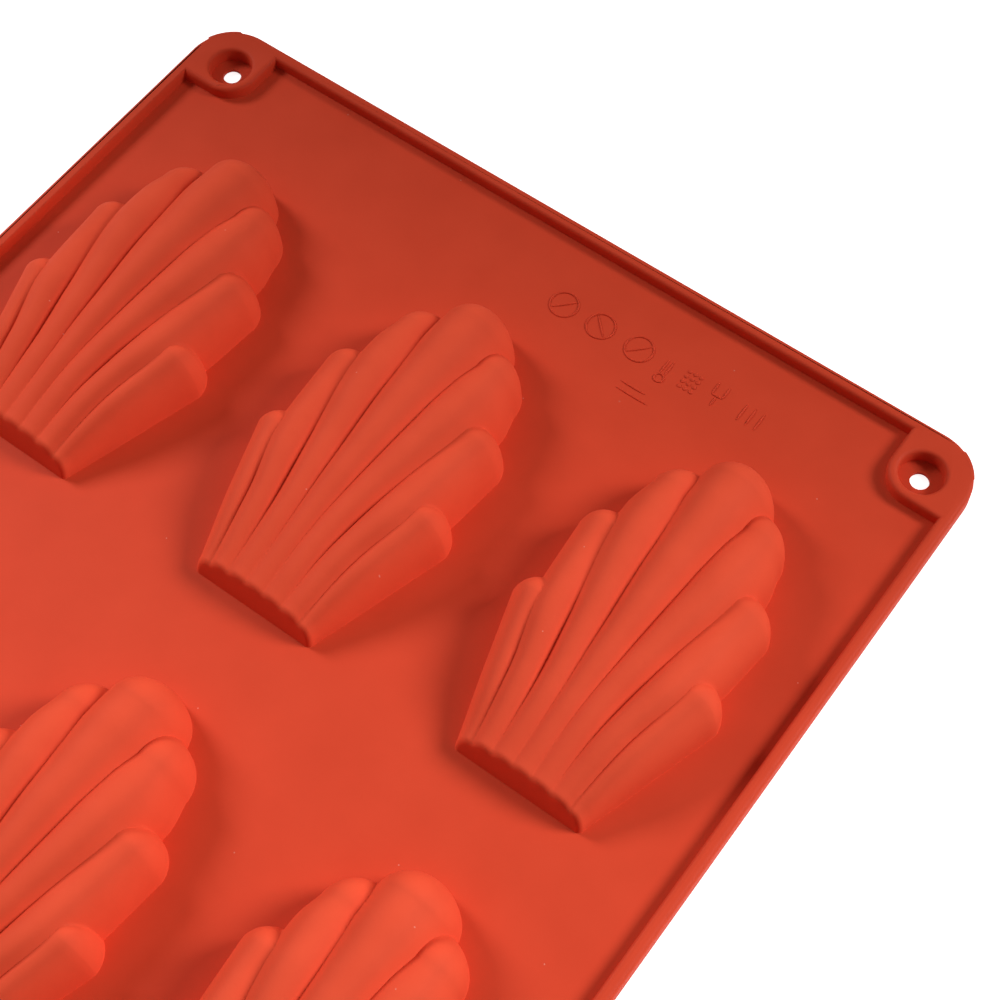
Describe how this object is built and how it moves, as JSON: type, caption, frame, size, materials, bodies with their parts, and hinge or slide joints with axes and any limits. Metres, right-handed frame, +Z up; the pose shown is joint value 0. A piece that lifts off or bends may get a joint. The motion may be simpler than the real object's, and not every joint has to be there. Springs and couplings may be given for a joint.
{
  "type": "silicone madeleine baking mould",
  "caption": "Flexible baking mould with a flat sheet, a raised rim, corner hanging holes and rows of fluted shell cups.",
  "frame": {"origin": "middle of the flat filling face, which is the bottom of the part as pictured", "axes": "+X along the short side, +Y along the long side towards the wide ends of the shells, +Z up, the way the shells stand out"},
  "size_m": [0.175, 0.3, 0.0153],
  "materials": {
    "silicone": "satin matte"
  },
  "bodies": {
    "root": {"web_sheet": "silicone", "rim_front": "silicone", "rim_back": "silicone", "rim_left": "silicone", "rim_right": "silicone", "corner_pads": "silicone", "shell_cups_left": "silicone", "shell_cups_middle": "silicone", "shell_cups_right": "silicone"}
  },
  "joints": []
}
